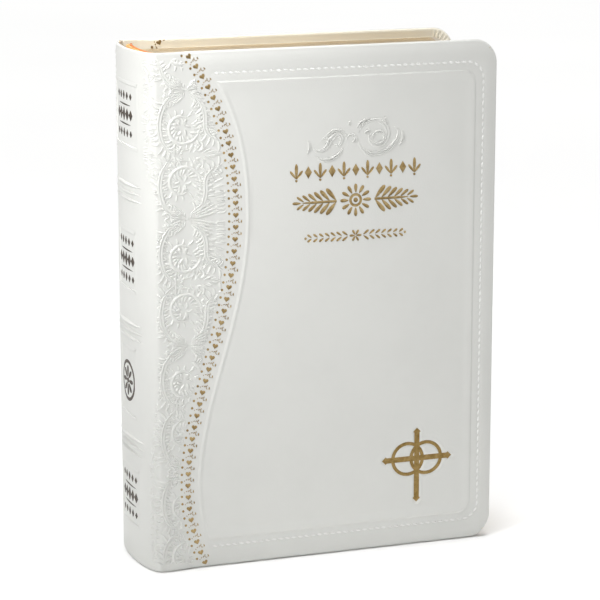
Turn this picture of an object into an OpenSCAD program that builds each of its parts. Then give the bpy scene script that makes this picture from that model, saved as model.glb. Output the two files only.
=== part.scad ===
// Bound devotional book, closed and standing on its tail edge.
// X runs from the spine to the fore-edge, Y from the front cover to the back
// cover, and Z from tail to head. The origin is below the middle of the book.

/* [Book] */
// Height of the covers
cover_h = 212; // [180:1:240]
// Width from the back of the spine to the fore-edge of the covers
book_w = 152; // [130:1:180]
// Thickness over both covers
book_t = 50; // [44:0.5:60]
// How far the rounded spine stands out behind the covers
spine_round = 7; // [5:0.5:10]
// Radius of the covers' fore-edge corners
cover_corner_r = 10; // [4:0.5:16]

/* [Covers] */
// Thickness of the leather
leather_t = 0.6; // [0.4:0.1:1]
// Thickness of the foam pad under the leather
foam_t = 0.7; // [0.4:0.1:1.2]
// Thickness of the board
board_t = 1.3; // [1:0.1:2]
// Thickness of the leather turned in over the board
turn_in_t = 0.5; // [0.3:0.1:0.8]
// Width of the leather turned in over the board
turn_in_w = 15; // [10:1:20]
// Distance from the spine edge of the cover to the line it hinges on
hinge_in = 6; // [4:0.5:8]
// Width of the bare leather joint between the hinge line and the board
joint_w = 7; // [6:0.5:9]

/* [Text block] */
// How far the covers stand out past the page edges
square_w = 4; // [2:0.5:6]
// Radius of the page corners at the fore-edge
page_corner_r = 8; // [3:0.5:12]
// Number of sewn sections, each in a node of its own
section_count = 20; // [20:1:20]
// Depth of the hollow in the fore-edge
fore_edge_hollow = 3.5; // [1:0.5:5]
// Thickness of each loose endpaper
endpaper_t = 0.3; // [0.2:0.05:0.4]
// Thickness of each group of pages that turns with a cover
leaf_t = 0.4; // [0.3:0.05:0.5]
// Number of page groups that turn with the front cover
front_leaf_count = 6; // [6:1:6]
// Number of page groups that turn with the back cover
back_leaf_count = 3; // [3:1:3]
// Distance from the hinge line to the gutter where the pages turn
gutter_in = 8; // [7:0.5:10]
// Length of page that bends at the gutter, left clear for the turn
page_bend = 2.5; // [2:0.5:4]

/* [Spine] */
// Thickness of the card that stiffens the spine
stiffener_t = 0.8; // [0.5:0.1:1.2]
// Height of each headband above the page edges
headband_h = 2.8; // [1:0.1:3.5]
// Number of stitch stations along the folds
stitch_stations = 6; // [4:1:10]

/* [Ornament] */
// Thickness of the foil and of the spine print
foil_t = 0.05; // [0.05:0.05:0.1]
// Distance between hearts along the vine
heart_pitch = 4.9; // [4:0.05:6]
// Width of each heart
heart_w = 2.2; // [1.5:0.1:3]
// Distance between dots along the vine
dot_pitch = 3.1; // [2.5:0.05:4]
// Diameter of each dot
dot_d = 0.9; // [0.5:0.1:1.2]
// Height of the cross
cross_h = 32; // [20:1:40]
// Width of the cross
cross_w = 31; // [20:1:36]
// Outer radius of the two linked rings on the cross
ring_r = 7.3; // [5:0.1:8]

/* [Hidden] */
SECTIONS = [for (i = [1 : section_count]) str("section_", i < 10 ? "0" : "", i)];
FRONT_LEAVES = [for (i = [1 : front_leaf_count]) str("front_leaf_", i)];
BACK_LEAVES = [for (i = [1 : back_leaf_count]) str("back_leaf_", i)];

// Main lines of the book in plan
half_t = book_t / 2;
edge_x = book_w / 2;
spine_x = -edge_x + spine_round;
hinge_x = spine_x + hinge_in;
board_x = hinge_x + joint_w;
gutter_x = hinge_x + gutter_in;

// Depths into a cover from its outer face
foam_y = leather_t;
board_y = foam_y + foam_t;
lining_y = board_y + board_t;
rim_y = lining_y + turn_in_t;
flange_t = 0.2;
paper_over = 0.2;
cover_t = rim_y + paper_over;

// Text block
page_gap = 0.1;
block_half_t = half_t - cover_t - page_gap;
page_z0 = square_w;
page_z1 = cover_h - square_w;
page_x1 = edge_x - square_w;
front_stack_t = endpaper_t + front_leaf_count * leaf_t;
back_stack_t = endpaper_t + back_leaf_count * leaf_t;
sections_y0 = -block_half_t + front_stack_t;
sections_y1 = block_half_t - back_stack_t;
section_t = (sections_y1 - sections_y0) / section_count;

// Layers on the spine of the block, each an ellipse about the shoulder line
shoulder_x = spine_x + 1;
fold_round = spine_round - 2.4;
glue_t = 0.5;
mull_t = 0.3;
lining_t = 0.3;
layer_spread = 0.2;
folds_x = shoulder_x - 0.4;

// Colours
white_leather = [0.87, 0.87, 0.84];
cream_paper = [0.97, 0.95, 0.88];
gilt = [0.75, 0.65, 0.47];
gold_foil = [0.75, 0.61, 0.39];
headband_gold = [0.9, 0.62, 0.2];
grey_card = [0.55, 0.53, 0.5];

// The vine: depth below the head, distance from the spine edge, and slope
VINE = [[0, 11.7, 0.76], [66, 31.9, 0], [121, 22.3, -0.3], [177, 10.8, 0], [212, 19, 0.48]];
vine_scale = cover_h / 212;

// Cubic curve between two of the vine's knots
function hermite(p, q, d) =
    let (w = q[0] - p[0], t = (d - p[0]) / w)
    (2 * t ^ 3 - 3 * t ^ 2 + 1) * p[1] + (t ^ 3 - 2 * t ^ 2 + t) * w * p[2]
    + (3 * t ^ 2 - 2 * t ^ 3) * q[1] + (t ^ 3 - t ^ 2) * w * q[2];

// The last knot at or above a depth, so that the next one is below it
function knot_at(d) = max([for (i = [0 : len(VINE) - 2]) if (VINE[i][0] <= d || i == 0) i]);

// The vine's distance from the spine edge, and its slope, at a depth
function vine_x(depth) =
    let (d = depth / vine_scale, i = knot_at(d)) hermite(VINE[i], VINE[i + 1], d);
function vine_slope(depth) = (vine_x(depth + 0.5) - vine_x(depth - 0.5));

// Depths that are one pitch apart along the vine
function steps_down(depth, pitch) =
    depth > cover_h - 2 ? []
    : concat([depth], steps_down(depth + pitch / sqrt(1 + vine_slope(depth) ^ 2), pitch));

// Points of an ellipse that bulges towards the spine, from -a to a degrees. All
// the layers use the same step, so that their flats lie face to face.
bulge_step = 6;
function bulge(x, round, half, a = 90) =
    [for (k = [-a : bulge_step : a]) [x - round * cos(k), half * sin(k)]];

// Fore-edge of the pages, hollow in the middle of the thickness
function fore_edge_x(y) = page_x1 - fore_edge_hollow * (1 - (y / block_half_t) ^ 2);

// Back of the folds, rounded like the spine
function fold_x(y) = shoulder_x - fold_round * sqrt(1 - (y / block_half_t) ^ 2);

function section_y(i) = sections_y0 + i * section_t;

// ---- Helpers ----

// Stands a flat X-Z outline between two depths
module slab(y0, y1) translate([0, y1, 0]) rotate([90, 0, 0]) linear_extrude(y1 - y0) children();

// A panel with square corners at the spine side and round ones at the fore-edge
module panel(x0, x1, z0, z1, r) {
    translate([x0, z0]) square([x1 - x0 - r, z1 - z0]);
    translate([x1 - r - 1, z0 + r]) square([r + 1, z1 - z0 - 2 * r]);
    for (z = [z0 + r, z1 - r]) translate([x1 - r, z]) circle(r, $fn = 64);
}

// A cover's layer, placed by its depth from the cover's outer face
module cover_layer(side, from, to) {
    y_out = side * half_t;
    y_in = y_out - side * from;
    y_end = y_out - side * to;
    slab(min(y_in, y_end), max(y_in, y_end)) children();
}

// A closed band between two ellipses round the back of the block
module spine_band(x, inner, outer, z0, z1, a = 90)
    translate([0, 0, z0])
    linear_extrude(z1 - z0)
    polygon(concat(
        bulge(x, outer[0], outer[1], a),
        [for (p = [len(bulge(x, inner[0], inner[1], a)) - 1 : -1 : 0])
            bulge(x, inner[0], inner[1], a)[p]]
    ));

// Half bulge and half thickness of the block's spine layers, counted outwards
function layer(depth, n) = [fold_round + depth, block_half_t + n * layer_spread];

// ---- Text block ----

module section_plan(i) {
    y0 = section_y(i);
    y1 = section_y(i + 1);
    r = section_t / 2;
    nose_x = fold_x(max(abs(y0), abs(y1))) + r;
    polygon([[nose_x, y0], [fore_edge_x(y0), y0], [fore_edge_x(y1), y1], [nose_x, y1]]);
    translate([nose_x, (y0 + y1) / 2]) circle(r, $fn = 32);
}

// One folded and sewn section of pages
module section(i) color(i % 2 == 0 ? gilt : cream_paper) {
    x1 = max(fore_edge_x(section_y(i)), fore_edge_x(section_y(i + 1)));
    intersection() {
        translate([0, 0, page_z0]) linear_extrude(page_z1 - page_z0) section_plan(i);
        slab(-half_t, half_t) panel(-edge_x, x1, page_z0, page_z1, page_corner_r);
    }
}

module front_gutter_folds() color(cream_paper)
    translate([folds_x, -block_half_t, page_z0])
    cube([gutter_x - folds_x, front_stack_t, page_z1 - page_z0]);

module back_gutter_folds() color(cream_paper)
    translate([folds_x, block_half_t - back_stack_t, page_z0])
    cube([gutter_x - folds_x, back_stack_t, page_z1 - page_z0]);

// Rounds of thread that link the folds at each stitch station
module sewing_thread() color("white") {
    gap = (page_z1 - page_z0) / (stitch_stations + 1);
    for (k = [1 : stitch_stations])
        spine_band(shoulder_x, layer(0, 0), layer(glue_t, 1),
                   page_z0 + k * gap - 0.4, page_z0 + k * gap + 0.4, 78);
}

module spine_glue() color([0.93, 0.88, 0.7])
    difference() {
        translate([0, 0, page_z0])
            linear_extrude(page_z1 - page_z0)
            difference() {
                intersection() {
                    polygon(bulge(shoulder_x, fold_round + glue_t, block_half_t + layer_spread));
                    translate([-edge_x, -half_t]) square([edge_x + folds_x, book_t]);
                }
                for (i = [0 : section_count - 1]) section_plan(i);
            }
        sewing_thread();
    }

// Woven cloth over the glue, with wings that run out to the leather joints
module mull_cloth() color([0.95, 0.94, 0.9]) {
    z0 = page_z0 + 8;
    z1 = page_z1 - 8;
    wing = [
        [shoulder_x, block_half_t + layer_spread],
        [hinge_x - 1, half_t - leather_t],
        [hinge_x - 0.2, half_t - leather_t],
        [shoulder_x + 0.6, block_half_t + layer_spread]
    ];
    spine_band(shoulder_x, layer(glue_t, 1), layer(glue_t + mull_t, 2), z0, z1);
    translate([0, 0, z0]) linear_extrude(z1 - z0) {
        polygon(wing);
        mirror([0, 1]) polygon(wing);
    }
}

module spine_lining_paper() color(cream_paper)
    spine_band(shoulder_x, layer(glue_t + mull_t, 2), layer(glue_t + mull_t + lining_t, 3),
               page_z0 + 4, page_z1 - 4, 78);

module headband(z0) color(headband_gold)
    spine_band(shoulder_x, layer(-1.6, -4), layer(0.2, 0), z0, z0 + headband_h, 72);

module headband_top() headband(page_z1);
module headband_bottom() headband(page_z0 - headband_h);

// ---- Spine of the case ----

module spine_leather() color(white_leather) {
    inner = bulge(spine_x, spine_round - leather_t, half_t - leather_t);
    linear_extrude(cover_h)
        polygon(concat(
            [[hinge_x, -half_t]],
            bulge(spine_x, spine_round, half_t),
            [[hinge_x, half_t], [hinge_x, half_t - leather_t]],
            [for (p = [len(inner) - 1 : -1 : 0]) inner[p]],
            [[hinge_x, -half_t + leather_t]]
        ));
}

module spine_stiffener() color(grey_card)
    spine_band(spine_x,
               [spine_round - leather_t - stiffener_t, half_t - leather_t - stiffener_t],
               [spine_round - leather_t, half_t - leather_t], 1, cover_h - 1, 78);

// Height of the middle of each printed panel, as a share of the cover's height
PANELS = [0.875, 0.595, 0.355, 0.13];

// Rules, panel frames and a ring with a lozenge in each, on the rounded spine
module spine_print() color([0.2, 0.17, 0.13])
    intersection() {
        spine_band(spine_x, [spine_round, half_t], [spine_round + foil_t, half_t + foil_t],
                   0, cover_h, 60);
        for (f = PANELS)
            translate([-edge_x - 1, 0, f * cover_h])
                rotate([0, 90, 0])
                linear_extrude(spine_round) {
                    difference() {
                        circle(6, $fn = 64);
                        circle(5, $fn = 64);
                    }
                    polygon([[0, 3], [3, 0], [0, -3], [-3, 0]]);
                    for (s = [-1, 1]) translate([s * 9.5, 0]) square([0.7, 22], center = true);
                }
    }

// ---- Covers: side is -1 for the front and 1 for the back ----

module cover_panel(margin, x0) {
    r = max(cover_corner_r - margin, 1);
    panel(x0, edge_x - margin, margin, cover_h - margin, r);
}

// The leather wraps the board, and is bare and bends between the hinge line
// and the board
module leather(side) color(white_leather)
    difference() {
        cover_layer(side, 0, rim_y) cover_panel(0, hinge_x);
        cover_layer(side, foam_y, rim_y + 1)
            translate([hinge_x - 1, -1])
            square([joint_w + 1, cover_h + 2]);
        cover_layer(side, foam_y, lining_y) cover_panel(leather_t, board_x - 1);
        cover_layer(side, lining_y, rim_y + 1) cover_panel(turn_in_w, board_x - 1);
    }

module foam_pad(side) color([0.95, 0.93, 0.85])
    cover_layer(side, foam_y, board_y) cover_panel(leather_t, board_x);

module board(side) color(grey_card)
    cover_layer(side, board_y, lining_y) cover_panel(leather_t, board_x);

module mull_flange(side) color([0.95, 0.94, 0.9])
    cover_layer(side, lining_y, lining_y + flange_t)
    translate([board_x, turn_in_w + 6])
    square([18, cover_h - 2 * turn_in_w - 12]);

// Paper that lines the board and overlaps the turned-in leather
module pastedown(side) color(cream_paper)
    difference() {
        union() {
            cover_layer(side, lining_y, rim_y) cover_panel(turn_in_w, board_x);
            cover_layer(side, rim_y, cover_t) cover_panel(square_w, board_x);
        }
        mull_flange(side);
    }

// ---- Foil ----

// A heart that points down, centred on the origin
module heart() {
    r = heart_w * 0.27;
    for (s = [-1, 1]) translate([s * (heart_w / 2 - r), heart_w * 0.2]) circle(r, $fn = 24);
    polygon([
        [-heart_w * 0.46, heart_w * 0.06], [0, -heart_w / 2], [heart_w * 0.46, heart_w * 0.06],
        [heart_w * 0.2, heart_w * 0.2], [-heart_w * 0.2, heart_w * 0.2]
    ]);
}

// Hearts in a winding column, with a row of dots on their spine side
module vine_foil(side) color(gold_foil)
    cover_layer(side, -foil_t, 0) {
        for (d = steps_down(2, heart_pitch))
            translate([spine_x + vine_x(d), cover_h - d]) rotate(atan(vine_slope(d))) heart();
        for (d = steps_down(1.5, dot_pitch))
            translate([spine_x + vine_x(d) - 2.8, cover_h - d]) circle(dot_d / 2, $fn = 16);
    }

// A lozenge, or a row of them that shrinks towards its ends
module lozenge(w, h) polygon([[-w / 2, 0], [0, -h / 2], [w / 2, 0], [0, h / 2]]);
module lozenge_row(count, pitch, w, h)
    for (k = [-(count - 1) / 2 : (count - 1) / 2])
        translate([k * pitch, 0]) lozenge(w, h * (1 - 0.5 * abs(2 * k / count)));

// Three rows of ornament where such a book carries its name
module title_ornament_foil() color(gold_foil)
    cover_layer(-1, -foil_t, 0)
    translate([spine_x + 83, cover_h - 63]) {
        translate([0, 12.5]) lozenge_row(9, 6, 3.4, 4);
        difference() {
            circle(6, $fn = 64);
            circle(5, $fn = 64);
        }
        lozenge(5, 8);
        for (s = [-1, 1]) translate([s * 17, 0]) lozenge_row(5, 4, 3, 8);
        translate([0, -14.5]) lozenge_row(7, 6, 3, 3.4);
    }

// A bar of the cross, with a point at each end
module pointed_bar(length, w) {
    square([length - 3, w], center = true);
    for (s = [-1, 1]) translate([s * (length / 2 - 2), 0]) lozenge(4, w * 1.4);
}

// A cross with two linked rings round its arms
module cross_foil() color(gold_foil)
    cover_layer(-1, -foil_t, 0)
    translate([spine_x + 111, cover_h - 174.5 * vine_scale]) {
        translate([0, -3]) rotate(90) pointed_bar(cross_h, 2.2);
        pointed_bar(cross_w, 2.2);
        for (s = [-1, 1])
            translate([s * 4, 0])
            difference() {
                circle(ring_r, $fn = 64);
                circle(ring_r - 1.4, $fn = 64);
            }
    }

// ---- Pages that turn ----

// A sheet from past the gutter to the fore-edge
module sheet(y0, t) color(cream_paper)
    slab(y0, y0 + t)
    panel(gutter_x + page_bend, page_x1, page_z0, page_z1, page_corner_r);

module front_leaf(i) sheet(-block_half_t + endpaper_t + (i - 1) * leaf_t, leaf_t);
module back_leaf(i) sheet(block_half_t - endpaper_t - i * leaf_t, leaf_t);

for (i = [0 : section_count - 1]) section(i);
front_gutter_folds();
back_gutter_folds();
sewing_thread();
spine_glue();
mull_cloth();
spine_lining_paper();
headband_top();
headband_bottom();
spine_leather();
spine_stiffener();
spine_print();
board(-1);  // front_board
foam_pad(-1);  // front_foam_pad
leather(-1);  // front_leather
pastedown(-1);  // front_pastedown
mull_flange(-1);  // front_mull_flange
vine_foil(-1);  // front_vine_foil
title_ornament_foil();
cross_foil();
board(1);  // back_board
foam_pad(1);  // back_foam_pad
leather(1);  // back_leather
pastedown(1);  // back_pastedown
mull_flange(1);  // back_mull_flange
vine_foil(1);  // back_vine_foil
sheet(-block_half_t, endpaper_t);  // front_endpaper
for (i = [1 : front_leaf_count]) front_leaf(i);
sheet(block_half_t - endpaper_t, endpaper_t);  // back_endpaper
for (i = [1 : back_leaf_count]) back_leaf(i);
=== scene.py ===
"""Looks of a padded white leather devotional book with gold foil.

Lengths are millimetres until a mesh is made, which turns them into metres. A
place on the case is given by s, the distance over the leather from the spine
edge of a cover (negative round the spine), z, the height above the tail edge,
and a lift off the surface. Side is -1 for the front half and 1 for the back.
"""

import math

import bpy
import numpy as np
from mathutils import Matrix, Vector


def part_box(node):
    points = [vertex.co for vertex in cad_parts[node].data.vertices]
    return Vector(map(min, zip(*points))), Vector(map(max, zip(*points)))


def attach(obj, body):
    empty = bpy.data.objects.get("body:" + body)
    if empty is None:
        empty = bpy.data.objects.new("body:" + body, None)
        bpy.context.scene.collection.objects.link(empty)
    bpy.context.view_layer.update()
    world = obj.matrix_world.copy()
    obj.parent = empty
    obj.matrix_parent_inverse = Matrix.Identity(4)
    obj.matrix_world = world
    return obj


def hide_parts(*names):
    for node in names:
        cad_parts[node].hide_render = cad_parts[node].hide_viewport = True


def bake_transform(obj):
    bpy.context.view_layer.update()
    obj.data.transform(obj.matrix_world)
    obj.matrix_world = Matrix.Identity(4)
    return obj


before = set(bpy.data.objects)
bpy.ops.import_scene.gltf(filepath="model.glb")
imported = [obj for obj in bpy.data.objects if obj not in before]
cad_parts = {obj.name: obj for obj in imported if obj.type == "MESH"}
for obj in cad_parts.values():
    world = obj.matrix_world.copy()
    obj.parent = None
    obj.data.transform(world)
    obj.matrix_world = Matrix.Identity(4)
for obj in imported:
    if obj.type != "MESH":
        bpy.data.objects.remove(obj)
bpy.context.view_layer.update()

MM = 0.001
FRONT, BACK = -1, 1
SIDE_NAMES = {FRONT: "front", BACK: "back"}


def box_mm(node):
    """Lowest and highest corner of a CAD node, in millimetres."""
    return [np.array(corner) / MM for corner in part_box(node)]


# ---- Main sizes, from the frame ----

leather_lo, leather_hi = box_mm("front_leather")
HEIGHT = leather_hi[2]
HALF_T = -leather_lo[1]
FORE_X = leather_hi[0]
HINGE_X = leather_lo[0]
BOARD_X = box_mm("front_board")[0][0]
RIM_DEPTH = leather_hi[1] - leather_lo[1]
COVER_DEPTH = box_mm("front_pastedown")[1][1] + HALF_T
SPINE_ROUND = 7.0
SPINE_X = box_mm("spine_leather")[0][0] + SPINE_ROUND
COVER_W = FORE_X - SPINE_X
GUTTER_X = box_mm("front_gutter_folds")[1][0]
PAGE_Z0, PAGE_Z1 = box_mm("section_01")[0][2], box_mm("section_01")[1][2]
CORNER_R = 10.0
PAGE_CORNER_R = 8.0

# ---- The case surface ----

EDGE_DROP = 0.7       # how much lower the padded cover is where it starts to roll over its edge
SPINE_DROP = 0.15     # the same at the head and tail of the spine
PILLOW_W = 5.0        # width over which the padding rises from the edge
SPINE_EDGE_T = 1.5    # thickness of the leather and card at the ends of the spine
SURFACE_SINK = 0.04   # how far the plain surface lies below the CAD face
SLACK = 0.05          # height of the slow waves in the leather
RIM_H = 0.42          # height of the soft rim pressed up round the panel
RIM_FROM = 8.0        # distance from the spine where the rim starts
# Widths of its outer flank, and of its inner flank on the three straight sides and along the vine
RIM_STEEP, RIM_GENTLE, RIM_VINE = 0.5, 4.5, 1.5
SIDES_BLEND_W = 4.0   # difference in distance over which one inner flank passes into the other
PANEL_TOP, PANEL_BOTTOM, PANEL_RIGHT = 12.0, 200.3, 135.3
PANEL_R = 6.0
VINE_LINE = 4.5       # distance from the vine to the panel's rim
STITCH_TOP, STITCH_BOTTOM, STITCH_RIGHT = 8.9, 203.2, 138.7
STITCH_R = 7.0
STITCH_FROM = 22.0    # distance from the spine where the stitches start
STITCH_GROOVE, STITCH_GROOVE_W = 0.16, 0.9    # depth and half width of their channel
SPINE_BOX_SUNK, SPINE_BOX_WALL_W = 0.26, 0.7
SPINE_BOXES = [(13.6, 39.6), (73.5, 98.0), (122.0, 151.0), (172.6, 196.7)]
SPINE_BOX_HALF_W = [15.0, 11.4, 10.0, 12.0]
SPINE_BANDS = [57.5, 114.5, 162.5]
BAND_HALF_W = 17.3    # reach of the bands round the spine
BAND_PITCH, BAND_W, BAND_H = 3.0, 1.7, 0.85
LIP_W, LIP_H = 1.9, 0.42    # the lip round a sunk box
CROSS_CENTRE = (111.0, 174.5)
# From the cross's centre, in s and depth: its plain bars, the lozenges at their ends, and its foil bars
CROSS_BARS = [((0, -12), (0, 18)), ((-14.5, 0), (14.5, 0))]
CROSS_TIPS = [(0, -11.55), (0, 17.35), (-13.95, 0), (13.95, 0)]
CROSS_FOIL_BARS = [((0, -13.2), (0, 19), 0.07), ((-15.6, 0), (15.6, 0), 0.062)]    # and their lift
CROSS_SUNK, CROSS_WALL_W = 0.34, 0.6
CROSS_LIP, CROSS_LIP_AWAY, CROSS_LIP_W = 0.14, 1.0, 0.45
CROSS_BAR_W, CROSS_TIP = 2.3, 1.65
CROSS_RING_X, CROSS_RING_OUT, CROSS_RING_IN = 4.1, 7.4, 5.9

HEART_PITCH, DOT_PITCH = 4.9, 3.1
# Depth below the head, distance from the spine edge, and slope of the vine
VINE = np.array([(0, 11.7, 0.76), (66, 31.9, 0), (121, 22.3, -0.3), (177, 10.8, 0), (212, 19, 0.48)])
VINE_LENGTH = VINE[-1, 0]


def smooth(t):
    t = np.clip(t, 0, 1)
    return t * t * (3 - 2 * t)


def mix(a, b, t):
    return a + (b - a) * t


def vine_s(z):
    """The vine's distance from the spine edge at a height."""
    down = np.clip(HEIGHT - np.asarray(z, float), 0, HEIGHT) * VINE_LENGTH / HEIGHT
    i = np.clip(np.searchsorted(VINE[:, 0], down, side="right") - 1, 0, len(VINE) - 2)
    p, q = VINE[i], VINE[i + 1]
    w = q[..., 0] - p[..., 0]
    t = (down - p[..., 0]) / w
    return (
        (2 * t**3 - 3 * t**2 + 1) * p[..., 1]
        + (t**3 - 2 * t**2 + t) * w * p[..., 2]
        + (3 * t**2 - 2 * t**3) * q[..., 1]
        + (t**3 - t**2) * w * q[..., 2]
    )


def vine_slope(z):
    return vine_s(np.asarray(z) - 0.5) - vine_s(np.asarray(z) + 0.5)


# Quarter of the spine's ellipse: its angle against the distance from the spine edge
_angle = np.linspace(math.pi / 2, 0, 600)
_step = np.hypot(np.diff(-SPINE_ROUND * np.cos(_angle)), np.diff(HALF_T * np.sin(_angle)))
_distance = np.concatenate([[0], np.cumsum(_step)])
SPINE_S = _distance[-1]


def case_point(side, s, depth, z):
    """Points on the case at a depth below its outer face, as an (n, 3) array."""
    side, s, depth, z = np.broadcast_arrays(side, s, depth, z)
    angle = np.interp(-s, _distance, _angle)
    base_x = np.where(s < 0, SPINE_X - SPINE_ROUND * np.cos(angle), SPINE_X + s)
    base_y = np.where(s < 0, HALF_T * np.sin(angle), HALF_T)
    nx = np.where(s < 0, -np.cos(angle) / SPINE_ROUND, 0)
    ny = np.where(s < 0, np.sin(angle) / HALF_T, 1)
    length = np.hypot(nx, ny)
    x = base_x - nx / length * depth
    y = side * (base_y - ny / length * depth)
    return np.stack([x, y, z + 0 * x], -1)


def cover_share(s):
    """0 on the spine and 1 on the boarded cover, changing over the leather joint."""
    return smooth((np.asarray(s, float) - (HINGE_X - SPINE_X - 1)) / (BOARD_X - HINGE_X + 2))


def edge_size(s):
    """Drop, roll radius and thickness of the case at its edge."""
    t = cover_share(s)
    drop = mix(SPINE_DROP, EDGE_DROP, t)
    thick = mix(SPINE_EDGE_T, RIM_DEPTH, t)
    return drop, (thick - drop) / 2, thick


def round_box_distance(s, down, right, top, bottom, r):
    """Distance in from a frame that is open to the spine and round at its fore-edge corners."""
    half = (bottom - top) / 2
    qx = s - (right - r)
    qz = np.abs(down - top - half) - (half - r)
    corner = np.hypot(np.maximum(qx, 0), np.maximum(qz, 0))
    return r - np.where((qx > 0) & (qz > 0), corner, np.maximum(qx, qz))


def edge_distance(s, z):
    """Distance in from the outline of the case, whose fore-edge corners are round."""
    return round_box_distance(s, HEIGHT - z, COVER_W, 0, HEIGHT, CORNER_R)


def panel_distance(s, z):
    """Distance in from the edge of the framed panel, and how far the vine's side of it is the nearer."""
    frame_in = round_box_distance(s, HEIGHT - z, PANEL_RIGHT, PANEL_TOP, PANEL_BOTTOM, PANEL_R)
    vine_in = (s - vine_s(z) - VINE_LINE) / np.sqrt(1 + vine_slope(z) ** 2)
    return np.minimum(frame_in, vine_in), smooth((frame_in - vine_in) / SIDES_BLEND_W)


def stitch_distance(s, z):
    """Distance from the line of stitches, far away on the spine side of their ends."""
    line = round_box_distance(s, HEIGHT - z, STITCH_RIGHT, STITCH_TOP, STITCH_BOTTOM, STITCH_R)
    return np.where(s < STITCH_FROM, 10 * STITCH_GROOVE_W, np.abs(line))


def segment_distance(s, down, a, b):
    """Distance from the line between two points."""
    a, way = np.array(a, float), np.subtract(b, a)
    t = np.clip(((s - a[0]) * way[0] + (down - a[1]) * way[1]) / (way @ way), 0, 1)
    return np.hypot(s - a[0] - way[0] * t, down - a[1] - way[1] * t)


def cross_distance(s, z):
    """Distance out from the emblem's bars and rings, 0 inside them."""
    x, y = s - CROSS_CENTRE[0], HEIGHT - z - CROSS_CENTRE[1]
    near = [segment_distance(x, y, a, b) - CROSS_BAR_W / 2 for a, b in CROSS_BARS]
    near += [np.abs(x - tip_x) + np.abs(y - tip_y) - CROSS_TIP for tip_x, tip_y in CROSS_TIPS]
    middle, half_w = (CROSS_RING_OUT + CROSS_RING_IN) / 2, (CROSS_RING_OUT - CROSS_RING_IN) / 2
    near += [np.abs(np.hypot(x - m * CROSS_RING_X, y) - middle) - half_w for m in (-1, 1)]
    return np.maximum(np.minimum.reduce(near), 0)


def spine_box_share(s, z):
    """1 inside the spine's sunk boxes and 0 outside them."""
    a = np.abs(s + SPINE_S)
    down = HEIGHT - z
    share = 0
    for (top, bottom), w in zip(SPINE_BOXES, SPINE_BOX_HALF_W):
        inside = np.minimum.reduce([w - a, down - top, bottom - down])
        share = share + smooth(inside / SPINE_BOX_WALL_W + 0.5)
    return share


def outer_depth(side, s, z):
    """How far the finished surface lies below the CAD face of the case."""
    s, z = np.broadcast_arrays(np.asarray(s, float), np.asarray(z, float))
    drop, roll, _ = edge_size(s)
    edge = edge_distance(s, z)
    pillow = drop * (1 - np.clip((edge - roll) / PILLOW_W, 0, 1)) ** 2
    panel, by_vine = panel_distance(s, z)
    rim = RIM_H * smooth(panel / RIM_STEEP) * (s > RIM_FROM)
    rim = rim * (1 - smooth((panel - RIM_STEEP) / mix(RIM_GENTLE, RIM_VINE, by_vine)))
    channel = STITCH_GROOVE * np.exp(-((stitch_distance(s, z) / STITCH_GROOVE_W) ** 2))
    slack = SLACK * np.sin(s / 9 + 1.3 * np.sin(z / 21)) * np.sin(z / 13 + 0.7 * np.sin(s / 17))
    slack = slack * cover_share(s) * smooth((edge - 2) / 8)
    cross = cross_distance(s, z)
    sunk = CROSS_SUNK * (1 - smooth(cross / CROSS_WALL_W))
    sunk = sunk - CROSS_LIP * np.exp(-(((cross - CROSS_LIP_AWAY) / CROSS_LIP_W) ** 2))
    sunk = sunk * (np.asarray(side) == FRONT) + SPINE_BOX_SUNK * spine_box_share(s, z)
    return pillow - rim + channel + slack + sunk + SURFACE_SINK + RIM_H * cover_share(s)


def on_case(side, s, z, lift=0.0):
    """Points on the finished surface of the case, lifted off it."""
    return case_point(side, s, outer_depth(side, s, z) - lift, z)


# ---- Mesh helpers ----


def make_object(name, points, faces, materials, face_material=None, smooth_shade=True):
    """A mesh object from points in millimetres."""
    mesh = bpy.data.meshes.new(name)
    mesh.from_pydata((np.asarray(points, float) * MM).tolist(), [], faces)
    for m in materials:
        mesh.materials.append(m)
    if face_material is not None:
        mesh.polygons.foreach_set("material_index", np.asarray(face_material, np.int32))
    mesh.validate()
    mesh.update()
    if smooth_shade:
        mesh.polygons.foreach_set("use_smooth", np.ones(len(mesh.polygons), bool))
    obj = bpy.data.objects.new(name, mesh)
    bpy.context.scene.collection.objects.link(obj)
    return obj


def make_active(obj):
    bpy.ops.object.select_all(action="DESELECT")
    obj.select_set(True)
    bpy.context.view_layer.objects.active = obj


def merge_doubles(obj, distance=0.0005):
    """Joins vertices closer than a distance in millimetres."""
    make_active(obj)
    bpy.ops.object.mode_set(mode="EDIT")
    bpy.ops.mesh.select_all(action="SELECT")
    bpy.ops.mesh.remove_doubles(threshold=distance * MM)
    bpy.ops.object.mode_set(mode="OBJECT")


def sharpen(obj, degrees=35):
    """Smooth shading that keeps edges sharper than an angle."""
    make_active(obj)
    bpy.ops.object.shade_smooth_by_angle(angle=math.radians(degrees))


def settle(obj, body, slot, *nodes):
    """The body a piece rides on, the finish it has (not used), and the CAD nodes it stands for."""
    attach(obj, body)
    if nodes:
        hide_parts(*nodes)


def blend_to_cover(obj, side):
    """Bakes a piece's transform into its mesh."""
    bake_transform(obj)


def grid_faces(rows, cols, close_cols=False):
    """Quads of a grid of points stored row by row."""
    return [
        (r * cols + c, r * cols + (c + 1) % cols, (r + 1) * cols + (c + 1) % cols, (r + 1) * cols + c)
        for r in range(rows - 1)
        for c in range(cols if close_cols else cols - 1)
    ]


def lines(*spans):
    """Grid lines over spans of (from, to, greatest step)."""
    out = []
    for a, b, step in spans:
        n = max(1, math.ceil((b - a) / step - 1e-9))
        out.extend(a + (b - a) * k / n for k in range(n))
    return np.array(out + [spans[-1][1]])


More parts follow.
